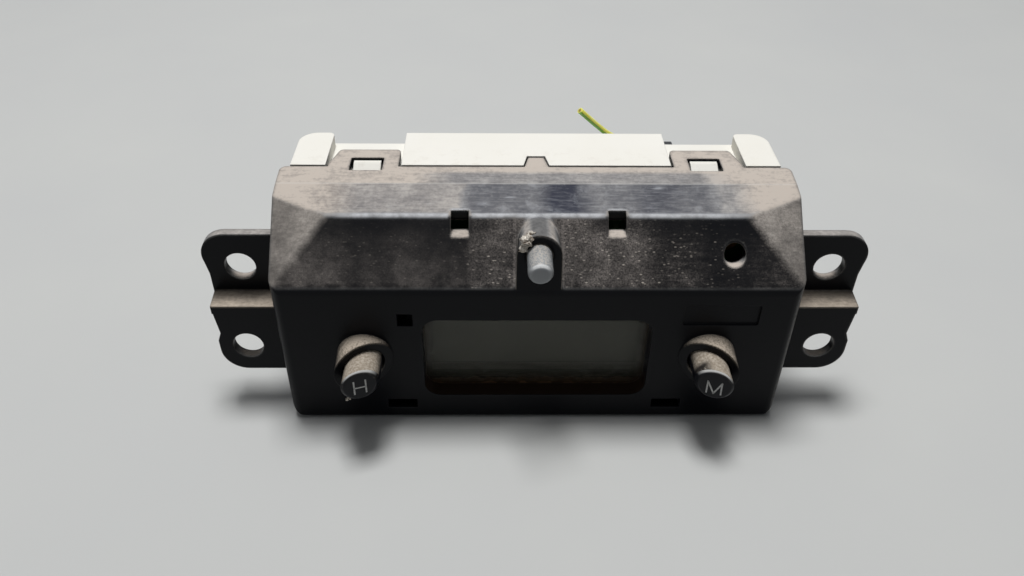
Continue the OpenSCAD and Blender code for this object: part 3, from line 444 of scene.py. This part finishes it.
# Cast acrylic: nearly unseen, with a film of dirt that thickens to brown along the lower edge. Its
# darkening towards the sill and the sides is partly painted shade of the recess.
lens_low, lens_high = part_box("window_lens")
window_acrylic, tree, surface, place = start_material("clear_acrylic_with_dirt_and_painted_shade")
axes = add(tree, "SeparateXYZ", {0: place}).node.outputs
smear_size = 3.5
smear = add(tree, "TexNoise", {"Vector": place, "Scale": 1 / smear_size, "Detail": 5, "Roughness": 0.65})
ragged = add(tree, "MapRange", {"Value": smear, "To Min": -2.2, "To Max": 2.2})
height = add(tree, "Math", {0: axes["Z"], 1: ragged}, operation="ADD")
aside = add(tree, "Math", {0: axes["X"]}, operation="ABSOLUTE")
aside = add(tree, "Math", {0: aside, 1: ragged}, operation="SUBTRACT")
rim_width = 1.5
sill = lens_low.z / MM + rim_width
jamb = lens_high.x / MM - rim_width
by_sill = add(tree, "MapRange", {"Value": height, "From Min": sill + 3.2, "From Max": sill})
by_jamb = add(tree, "MapRange", {"Value": aside, "From Min": jamb - 2.4, "From Max": jamb,
                                 "To Max": 0.6})
# The film darkens towards the sill and the sides: brown dirt, with painted shade of the recess in it.
dirt = add(tree, "Math", {0: by_sill, 1: by_jamb}, operation="MAXIMUM")
dirt_and_shade_film = add(tree, "Mix", {0: dirt, 6: linear("#57564D"), 7: linear("#3A2A1C")}, 2, data_type="RGBA")
crust = add(tree, "MapRange", {"Value": height, "From Min": sill + 0.9, "From Max": sill + 0.2})
dirt_and_shade_film = add(tree, "Mix", {0: crust, 6: dirt_and_shade_film, 7: linear("#57422D")}, 2, data_type="RGBA")
cover_share = add(tree, "MapRange", {"Value": dirt, "To Min": 0.22, "To Max": 0.92})
tree.links.new(dirt_and_shade_film, surface.inputs["Base Color"])
tree.links.new(cover_share, surface.inputs["Alpha"])
surface.inputs["Roughness"].default_value = 0.2
surface.inputs["IOR"].default_value = 1.49
dress(window_acrylic, "window_lens")

# Polarised glass: a flat grey-green with a faint cloudiness.
cell_glass = finish_material("polarised_cell_glass", "#5E5E53", "#66665B",
                             patch=14, roughness=0.25, relief=0.0)
dress(cell_glass, "lcd_panel")

# Matt black ABS: hides the edges of the cell, and keeps the small hole in the face dark.
holder_abs = finish_material("matt_black_abs", "#08080A", "#0D0D0F", patch=0.6, roughness=0.8)
holder_abs.node_tree.nodes["Principled BSDF"].inputs["Specular IOR Level"].default_value = 0.05
dress(holder_abs, "lcd_frame")

# Zebra rubber: layers of carbon and silicone too thin to tell apart, so a mottled grey.
zebra_rubber = finish_material("layered_silicone_rubber", "#9A958A", "#6F6B63",
                               patch=0.4, roughness=0.7)
dress(zebra_rubber, "upper_contact_strip", "lower_contact_strip")

# Diffusing acrylic: milky and bright.
guide_acrylic = finish_material("frosted_acrylic", "#D9DDD6", "#E6E9E2", patch=5, roughness=0.3)
dress(guide_acrylic, "light_guide")

# Lamp resin: glossy cream epoxy.
lamp_resin = finish_material("moulded_lamp_epoxy", "#DCD3AE", "#EDE6C8", patch=1.5, roughness=0.2)
dress(lamp_resin, "backlight_lamps", "indicator_led")


# Buttons
# Each button is a black ABS plunger with a slanted end that carries one printed letter, H for the
# hour and M for the minute. Dust lies on its upper side; fingers keep its end clean and rub its rim,
# and a painted highlight lies along the upper side of the rim.
def surface_parts(tree, place):
    """Place in mm and normal, each split along x, y and z, and the normal with its edges rounded."""
    axes = add(tree, "SeparateXYZ", {0: place}).node.outputs
    look = add(tree, "NewGeometry", out="Normal")
    facing = add(tree, "SeparateXYZ", {0: look}).node.outputs
    softened = add(tree, "Bevel", {"Radius": edge_radius * MM}, samples=6)
    return axes, facing, softened


button_x = 36.2
button_z = 18.9
button_end_y = -28.6
button_r = 3.8
dust_size = 1.3
dust_depth = 0.05
fleck_size = 0.5

# Moulded ABS: satin and nearly black where it is bare, dull and beige under its dust.
button_abs, tree, surface, place = start_material("satin_black_abs_handled")
axes, facing, softened = surface_parts(tree, place)
ragged = add(tree, "TexNoise", {"Vector": place, "Scale": 1 / dust_size, "Detail": 6, "Roughness": 0.7})
shift = add(tree, "MapRange", {"Value": ragged, "To Min": -0.3, "To Max": 0.3})
lying = add(tree, "Math", {0: facing["Z"], 1: shift}, operation="ADD")
dust = add(tree, "MapRange", {"Value": lying, "From Min": 0.2, "From Max": 0.65})
button_axis = (button_x, 0, button_z)
aside = add(tree, "Math", {0: axes["X"]}, operation="ABSOLUTE")
across = add(tree, "CombineXYZ", {"X": aside, "Z": axes["Z"]})
radius = add(tree, "VectorMath", {0: across, 1: button_axis}, "Value", operation="DISTANCE")
zone = zones(tree, {
    "rim": [(facing["Y"], -0.3, -0.45), (facing["Z"], 0.1, 0.3)],
    "rim_line": [(radius, button_r - 0.36, button_r - 0.2), (facing["Y"], -0.25, -0.4),
                 (facing["Z"], 0.25, 0.55)],
    # a finger has wiped the inner side of the minute button
    "wiped": [(axes["X"], 30, 31), (axes["X"], 35.8, 34.2), (axes["Y"], -24.2, -25.6),
              (ragged, 0.28, 0.45)],
})
dust = thinned(tree, dust, [(zone["rim"], 0.06), (zone["wiped"], 0.08)])
# The upper side of the rim is painted near white: a painted highlight on the rubbed rim.
rubbed_and_highlight = add(tree, "Math", {0: zone["rim_line"], 1: 0.9}, operation="MULTIPLY")
colour = add(tree, "Mix", {0: rubbed_and_highlight, 6: linear("#0D0E13"), 7: linear("#D6D6D4")}, 2, data_type="RGBA")
flecks = add(tree, "TexNoise", {"Vector": place, "Scale": 1 / fleck_size, "Detail": 3})
flecks = add(tree, "MapRange", {"Value": flecks, "From Min": 0.42, "From Max": 0.7})
dust_colour = add(tree, "Mix", {0: flecks, 6: linear("#93887A"), 7: linear("#BBB1A3")}, 2,
                  data_type="RGBA")
colour = add(tree, "Mix", {0: dust, 6: colour, 7: dust_colour}, 2, data_type="RGBA")
gloss = add(tree, "MapRange", {"Value": dust, "To Min": 0.3, "To Max": 0.95})
relief = add(tree, "Bump", {"Height": ragged, "Normal": softened, "Distance": dust_depth * MM,
                            "Strength": 0.4})
tree.links.new(colour, surface.inputs["Base Color"])
tree.links.new(gloss, surface.inputs["Roughness"])
tree.links.new(relief, surface.inputs["Normal"])
surface.inputs["IOR"].default_value = 1.53
surface.inputs["Specular IOR Level"].default_value = 0.14
dress(button_abs, "hour_button", "minute_button")

# Pad-printed white ink: thin, a little worn.
white_ink = finish_material("pad_printed_white_ink", "#BFBFBD", "#989896", patch=0.5, roughness=0.5)

# Crumbs of plastic and packed dust: pale and brown, rough and dull.
crumb_grit = finish_material("crumbled_abs_and_dust", "#7F6F5F", "#EAE5DB",
                             patch=0.7, roughness=0.9, relief=0.06)


def add_crumb(form, middle, size, stretch):
    """Small irregular lump; its size is in millimetres."""
    lump = bmesh.ops.create_icosphere(form, subdivisions=3, radius=size * MM)["verts"]
    for v in lump:
        way = v.co.normalized()
        # the middle shifts the noise, so that no two lumps are alike
        coarse = 0.8 * noise.noise(way * 1.7 + middle * 900)
        fine = 0.5 * noise.noise(way * 3.5 + middle * 700)
        v.co = Vector(c * s for c, s in zip(v.co * (1 + coarse + fine), stretch)) + middle
        for face in v.link_faces:
            face.smooth = True


button_slant = math.radians(18.5)
stroke_w = 0.32 * MM
ink_t = 0.04 * MM
# Ends of each letter's strokes on the button's end: right and up from its middle, in millimetres
letter_strokes = {
    "hour": [((-1.2, -1.85), (-1.2, 1.4)), ((1.22, -1.85), (1.22, 1.4)),
             ((-1.2, -0.32), (1.22, -0.32))],
    "minute": [((-1.45, -2.1), (-1.45, 0.95)), ((-1.45, 0.95), (0.02, -2.05)),
               ((0.02, -2.05), (1.42, 1.0)), ((1.42, 1.0), (1.49, -2.0))],
}
for key, side in (("hour", -1), ("minute", 1)):
    slant = -side * button_slant
    outward = Vector((math.sin(slant), -math.cos(slant), 0))
    right = Vector((math.cos(slant), math.sin(slant), 0))
    rise = Vector((0, 0, 1))
    middle = Vector((side * button_x, button_end_y, button_z)) * MM
    form = bmesh.new()
    for first, last in letter_strokes[key]:
        a = middle + (right * first[0] + rise * first[1]) * MM
        b = middle + (right * last[0] + rise * last[1]) * MM
        way = (b - a).normalized()
        wide = way.cross(outward) * stroke_w / 2
        a -= way * stroke_w / 2
        b += way * stroke_w / 2
        face = form.faces.new([form.verts.new(p) for p in (a - wide, b - wide, b + wide, a + wide)])
        raised = bmesh.ops.extrude_face_region(form, geom=[face])["geom"]
        bmesh.ops.translate(form, vec=outward * ink_t,
                            verts=[v for v in raised if isinstance(v, bmesh.types.BMVert)])
    bmesh.ops.recalc_face_normals(form, faces=form.faces)
    letter = new_piece(key + "_letter", form, white_ink)
    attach(letter, key + "_key")

    # A few crumbs hang under the rim of the hour button, on its outer side.
    if key == "hour":
        crumb_back = 0.5
        form = bmesh.new()
        for aside, above, size in ((-2.6, -2.9, 0.22), (-2.9, -3.3, 0.3), (-2.3, -3.25, 0.2)):
            under_rim = right * aside + rise * above - outward * crumb_back
            add_crumb(form, middle + under_rim * MM, size, (0.9, 0.7, 1.2))
        crumbs = new_piece("button_crumbs", form, crumb_grit)
        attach(crumbs, "hour_key")

# Switch bodies are matt black resin, their plungers a tan one.
switch_resin = finish_material("moulded_black_resin", "#17171A", "#232327",
                               patch=0.8, roughness=0.55)
dress(switch_resin, "hour_switch", "minute_switch")
plunger_resin = finish_material("moulded_tan_resin", "#A89264", "#BDA878", patch=0.8, roughness=0.5)
dress(plunger_resin, "hour_switch_plunger", "minute_switch_plunger")


# Indicator
# A rod of cloudy acrylic leads the lamp's light out under the hood. Its tip is rounded, its upper
# side is dusty, and the hood's edge above it is chipped and crumbled. The tip's end face is painted
# darker as painted shade, and a painted highlight lies along its upper rim.
cloud_size = 1.2
cloud_depth = 0.05
grit_size = 0.4

# Cast acrylic: cloudy grey, lets a little light through, and shines where it isn't dusty.
pipe_acrylic, tree, surface, place = start_material("cloudy_acrylic_rod")
axes, facing, softened = surface_parts(tree, place)
cloud = add(tree, "TexNoise", {"Vector": place, "Scale": 1 / cloud_size, "Detail": 5})
shift = add(tree, "MapRange", {"Value": cloud, "To Min": -0.4, "To Max": 0.4})
lying = add(tree, "Math", {0: facing["Z"], 1: shift}, operation="ADD")
grit = add(tree, "TexNoise", {"Vector": place, "Scale": 1 / grit_size, "Detail": 3, "Roughness": 0.7})
grit = add(tree, "MapRange", {"Value": grit, "From Min": 0.42, "From Max": 0.6})
dust = add(tree, "MapRange", {"Value": lying, "From Min": 0.45, "From Max": 0.95, "To Max": 0.75})
dust = add(tree, "Math", {0: dust, 1: grit}, operation="MULTIPLY")
tone = add(tree, "Mix", {0: cloud, 6: linear("#7C7F82"), 7: linear("#B4B7B9")}, 2, data_type="RGBA")
soft_look = add(tree, "SeparateXYZ", {0: softened}).node.outputs
aside = add(tree, "Math", {0: axes["X"]}, operation="ABSOLUTE")
zone = zones(tree, {
    "tip": [(facing["Y"], -0.8, -0.96)],
    "crescent_highlight": [(soft_look["Y"], -0.4, -0.55), (soft_look["Y"], -0.9, -0.8), (soft_look["Z"], 0.3, 0.5),
                 (aside, 2.2, 1.2)],
})
# The end face is painted darker, a painted shade, and the crescent near white, a painted highlight.
for share, part in ((dust, "#C9C0B4"), (zone["tip"], "#86898C"), (zone["crescent_highlight"], "#F0F1F1")):
    tone = add(tree, "Mix", {0: share, 6: tone, 7: linear(part)}, 2, data_type="RGBA")
gloss = add(tree, "MapRange", {"Value": dust, "To Min": 0.22, "To Max": 0.8})
relief = add(tree, "Bump", {"Height": cloud, "Normal": softened, "Distance": cloud_depth * MM,
                            "Strength": 0.3})
tree.links.new(tone, surface.inputs["Base Color"])
tree.links.new(gloss, surface.inputs["Roughness"])
tree.links.new(relief, surface.inputs["Normal"])
surface.inputs["IOR"].default_value = 1.49
surface.inputs["Transmission Weight"].default_value = 0.15
dress(pipe_acrylic, "indicator_light_pipe")

# Torn flakes lie on the left shoulder of the hood: some on its front rim, some on its roof. Each
# row gives their number, then the ranges of their angle, reach and distance behind the rim.
chance = random.Random(11)
pipe_axis_z = 44.0
hood_foot = Vector((0, -19.3, 34.0))
hood_lean = 1.9 / 15.6
form = bmesh.new()
for flakes, turns, reaches, behind in ((14, (112, 160), (3.6, 4.4), (0, 0.3)),
                                       (9, (112, 140), (4.2, 4.5), (0.3, 1.4))):
    for flake in range(flakes):
        turn = math.radians(chance.uniform(*turns))
        reach = chance.uniform(*reaches)
        aside = reach * math.cos(turn)
        height = pipe_axis_z + reach * math.sin(turn)
        front = hood_foot.y + hood_lean * (height - hood_foot.z)
        middle = Vector((aside, front + chance.uniform(*behind), height)) * MM
        stretch = [chance.uniform(0.5, 1.5) for axis in range(3)]
        add_crumb(form, middle, chance.uniform(0.4, 0.7), stretch)
crumbs = new_piece("hood_crumbs", form, crumb_grit)
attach(crumbs, "housing")


# Circuit board
# A green glass-fibre board hangs on four bosses of the cover. It carries the clock chip, the
# crystal and the small parts behind, and the switches, the trimmer and the lamps in front.

# Solder resist: a thin green lacquer, glossy over the copper.
board_resist = finish_material("solder_resist_on_laminate", "#1E5734", "#2B6E45",
                               patch=3, roughness=0.35)
dress(board_resist, "circuit_board")

# Chip epoxy: moulded black, dull and finely speckled.
chip_epoxy = finish_material("moulded_chip_epoxy", "#161618", "#222225", patch=0.4, roughness=0.6)
dress(chip_epoxy, "controller_chip", "voltage_regulator", "chip_resistors")

# Nickel silver: drawn into a can, bright with faint clouds.
crystal_can = finish_material("drawn_nickel_silver", "#C2C4C8", "#D5D7DA",
                              patch=2, roughness=0.28, metallic=1.0)
dress(crystal_can, "quartz_crystal")

# Shrunk PVC: a smooth dark blue skin with a soft shine.
capacitor_sleeve = finish_material("shrunk_pvc_sleeve", "#1C2438", "#27314A",
                                   patch=2, roughness=0.35)
dress(capacitor_sleeve, "smoothing_capacitor")

# Fired ceramic: an earthy brown, half matt.
trimmer_ceramic = finish_material("fired_brown_ceramic", "#7B5A31", "#8F6C40",
                                  patch=0.8, roughness=0.5)
dress(trimmer_ceramic, "rate_trimmer")

# Natural nylon: cream and waxy.
header_nylon = finish_material("moulded_natural_nylon", "#D8D3C0", "#E3DFCF",
                               patch=4, roughness=0.4)
dress(header_nylon, "connector_header")

# Tinned brass: pale metal with a warm cast.
pin_tin = finish_material("tinned_brass", "#C9BE9A", "#D9D0B4",
                          patch=1.5, roughness=0.3, metallic=1.0)
dress(pin_tin, "connector_pins")

# Zinc plating: cool grey metal, slightly cloudy.
screw_zinc = finish_material("zinc_plated_steel", "#B4B6BA", "#C9CBCE",
                             patch=1.0, roughness=0.35, metallic=1.0)
dress(screw_zinc, "board_screws")


# Rear case
# The case is a white ABS moulding that snaps into the cover from behind: its lugs sit in the
# windows of the cover's tabs. It has yellowed a little, is dusty along the seam, and is grimy on its
# walls, which turn darker towards the floor.
age_size = 22
grime_size = 12
seam_dust_size = 3

# Moulded ABS: matt white, with faint clouds of yellow where it has aged.
case_abs, tree, surface, place = start_material("matt_white_abs_aged")
axes, facing, softened = surface_parts(tree, place)
age = add(tree, "TexNoise", {"Vector": place, "Scale": 1 / age_size, "Detail": 4})
tone = add(tree, "Mix", {0: age, 6: linear("#F1EFE9"), 7: linear("#E8E5DB")}, 2, data_type="RGBA")
drift = add(tree, "TexNoise", {"Vector": place, "Scale": 1 / seam_dust_size, "Detail": 6,
                               "Roughness": 0.7})
grime = add(tree, "TexNoise", {"Vector": place, "Scale": 1 / grime_size, "Detail": 7,
                               "Roughness": 0.68})
zone = zones(tree, {
    "seam": [(axes["Y"], 14, 5), (facing["Z"], 0, 1), (drift, 0.52, 0.75)],
    "walls": [(facing["Z"], 0.5, 0.1), (grime, 0.46, 0.72)],
    "foot": [(facing["Z"], 0.5, 0.1), (axes["Z"], 9, 0), (drift, 0.35, 0.65)],
})
# The foot tone makes the walls darker towards the floor.
for mask, most, dirt in (("seam", 0.4, "#B9AD9C"), ("walls", 0.3, "#B7AE9D"), ("foot", 0.4, "#9C9383")):
    share = add(tree, "Math", {0: zone[mask], 1: most}, operation="MULTIPLY")
    tone = add(tree, "Mix", {0: share, 6: tone, 7: linear(dirt)}, 2, data_type="RGBA")
gloss = add(tree, "MapRange", {"Value": age, "To Min": 0.6, "To Max": 0.72})
# The moulded grain is about 0.1 mm, drawn at 0.4 mm so that it shows.
grain_size = 0.4
grain_depth = 0.03
grain = add(tree, "TexNoise", {"Vector": place, "Scale": 1 / grain_size, "Detail": 2})
relief = add(tree, "Bump", {"Height": grain, "Normal": softened, "Distance": grain_depth * MM,
                            "Strength": 0.3})
tree.links.new(tone, surface.inputs["Base Color"])
tree.links.new(gloss, surface.inputs["Roughness"])
tree.links.new(relief, surface.inputs["Normal"])
surface.inputs["IOR"].default_value = 1.53
surface.inputs["Specular IOR Level"].default_value = 0.2
dress(case_abs, "rear_case", "reflector")


# Plug and wire
# A dark nylon plug sits in the well of the case. Of the car's harness only one wire is left, cut
# short: thin PVC insulation, yellow with a green stripe, round a core of seven copper strands.

# Moulded nylon: near black, with a low shine.
plug_nylon = finish_material("moulded_black_nylon", "#17181A", "#232427", patch=1.2, roughness=0.45)
dress(plug_nylon, "harness_plug")

# Extruded PVC: even and waxy, and it lets some light through.
yellow_pvc = finish_material("extruded_yellow_pvc", "#F7EE63", "#FBF488", patch=2.5, roughness=0.4)
green_pvc = finish_material("extruded_green_pvc", "#93C765", "#A3D272", patch=2.5, roughness=0.4)
for pvc in (yellow_pvc, green_pvc):
    insulation = pvc.node_tree.nodes["Principled BSDF"].inputs
    insulation["Subsurface Weight"].default_value = 0.8
    insulation["Subsurface Radius"].default_value = (1.0, 1.0, 0.3)
    insulation["Subsurface Scale"].default_value = 1.5 * MM

# Drawn copper: bright where it was cut.
copper = finish_material("drawn_copper", "#9A7B4C", "#B0905E",
                         patch=0.6, roughness=0.35, metallic=1.0)

wire_start = Vector((30.2, 26.0, 37.2)) * MM
wire_r = 0.73 * MM
wire_bend = [
    (0, 0, 0), (0, 3, 0), (0, 5.7, -0.1), (-0.1, 8.7, -0.6), (-0.4, 11.7, -1.8),
    (-0.9, 14.7, -3.2), (-2, 17.3, -4.1), (-3.9, 19, -4), (-6, 19.5, -2.8), (-8.1, 19.1, -1.1),
    (-10.7, 17.8, 1), (-13.2, 16.8, 3.5), (-15.6, 15.8, 6), (-18.1, 14.7, 8.7),
]
route = [wire_start + Vector(p) * MM for p in wire_bend]
steps_between = 6


def on_curve(points, i, t):
    """Point of a smooth curve through all points, t of the way from point i to the next."""
    last = len(points) - 1
    p = [points[min(max(k, 0), last)] for k in (i - 1, i, i + 1, i + 2)]
    return 0.5 * (
        2 * p[1] + (p[2] - p[0]) * t + (2 * p[0] - 5 * p[1] + 4 * p[2] - p[3]) * t ** 2
        + (3 * p[1] - p[0] - 3 * p[2] + p[3]) * t ** 3
    )


path = [
    on_curve(route, i, k / steps_between) for i in range(len(route) - 1) for k in range(steps_between)
] + [route[-1]]
sides = 24
stripe_from, stripe_to = 12, 18


def ring_axes(points, i):
    """Directions across and up, square to the wire at a point of its path, and along it."""
    way = (points[min(i + 1, len(points) - 1)] - points[max(i - 1, 0)]).normalized()
    wide = way.cross(Vector((0, 0, 1))).normalized()
    return wide, wide.cross(way), way


form = bmesh.new()
rings = []
turns = [2 * math.pi * k / sides for k in range(sides)]
for i, centre in enumerate(path):
    wide, tall = ring_axes(path, i)[:2]
    spokes = [wire_r * (math.cos(a) * wide + math.sin(a) * tall) for a in turns]
    rings.append([form.verts.new(centre + spoke) for spoke in spokes])
for first, second in zip(rings, rings[1:]):
    for k in range(sides):
        after = (k + 1) % sides
        face = form.faces.new((first[k], first[after], second[after], second[k]))
        face.material_index = 1 if stripe_from <= k < stripe_to else 0
        face.smooth = True
form.faces.new(reversed(rings[0]))
form.faces.new(rings[-1])
bmesh.ops.recalc_face_normals(form, faces=form.faces)
wire = new_piece("cut_wire", form, yellow_pvc)
wire.data.materials.append(green_pvc)
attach(wire, "housing")
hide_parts("harness_wire")

strand_r = 0.15 * MM
strand_out = 0.06 * MM
strand_ring = 0.32 * MM
strand_taper = 0.8
outer_strands = 6
wide, tall, way = ring_axes(path, len(path) - 1)
stand = way.to_track_quat("Z", "Y").to_matrix()
form = bmesh.new()
turns = [2 * math.pi * k / outer_strands for k in range(outer_strands)]
places = [strand_ring * (math.cos(a) * wide + math.sin(a) * tall) for a in turns]
for off in places + [Vector((0, 0, 0))]:
    strand = bmesh.ops.create_cone(form, cap_ends=True, segments=12, radius1=strand_r,
                                   radius2=strand_r * strand_taper, depth=2 * strand_out)["verts"]
    for v in strand:
        v.co = stand @ v.co + path[-1] + off
strands = new_piece("wire_core", form, copper)
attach(strands, "housing")
